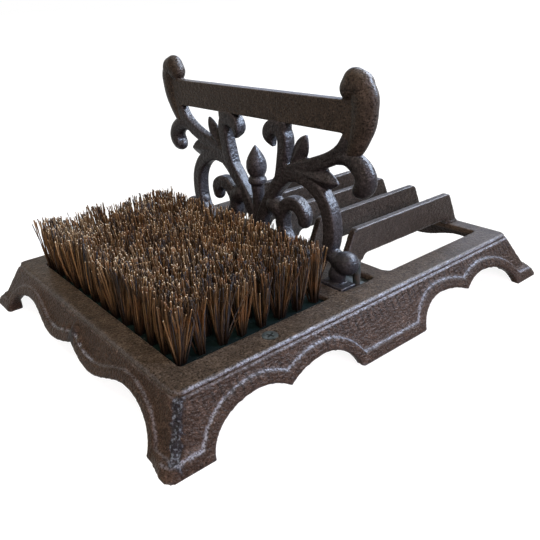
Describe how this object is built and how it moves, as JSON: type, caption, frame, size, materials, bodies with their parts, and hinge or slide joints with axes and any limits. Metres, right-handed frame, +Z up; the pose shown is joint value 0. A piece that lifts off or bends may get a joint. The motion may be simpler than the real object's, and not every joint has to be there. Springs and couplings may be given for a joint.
{
  "type": "boot scraper",
  "caption": "Footed cast iron boot scraper: scrolled upright blade, row of low scraper bars over an open grid, and a coir brush set in the top.",
  "frame": {"origin": "on the ground, at the centre of the base", "axes": "+X along the long side from the brush to the bars, +Y along the scraper blade, +Z up"},
  "size_m": [0.368, 0.294, 0.1886],
  "materials": {
    "iron": "dark brown sand-cast iron, semi-gloss",
    "coir": "stiff brown coir fibre",
    "block": "dark green, matt",
    "steel": "dulled plated steel"
  },
  "bodies": {
    "root": {"base_top": "iron", "cross_bar": "iron", "skirt_front": "iron", "skirt_back": "iron", "skirt_left": "iron", "skirt_right": "iron", "bar_1": "iron", "bar_2": "iron", "bar_3": "iron", "bar_4": "iron", "bar_5": "iron", "scraper_upright": "iron", "brush_block": "block", "bristle_row_01": "coir", "bristle_row_02": "coir", "bristle_row_03": "coir", "bristle_row_04": "coir", "bristle_row_05": "coir", "bristle_row_06": "coir", "bristle_row_07": "coir", "bristle_row_08": "coir", "bristle_row_09": "coir", "bristle_row_10": "coir", "bristle_row_11": "coir", "bristle_row_12": "coir", "bristle_row_13": "coir", "brush_screws": "steel", "upright_bolts": "steel", "clamp_plates": "steel", "spring_washers": "steel"}
  },
  "joints": []
}
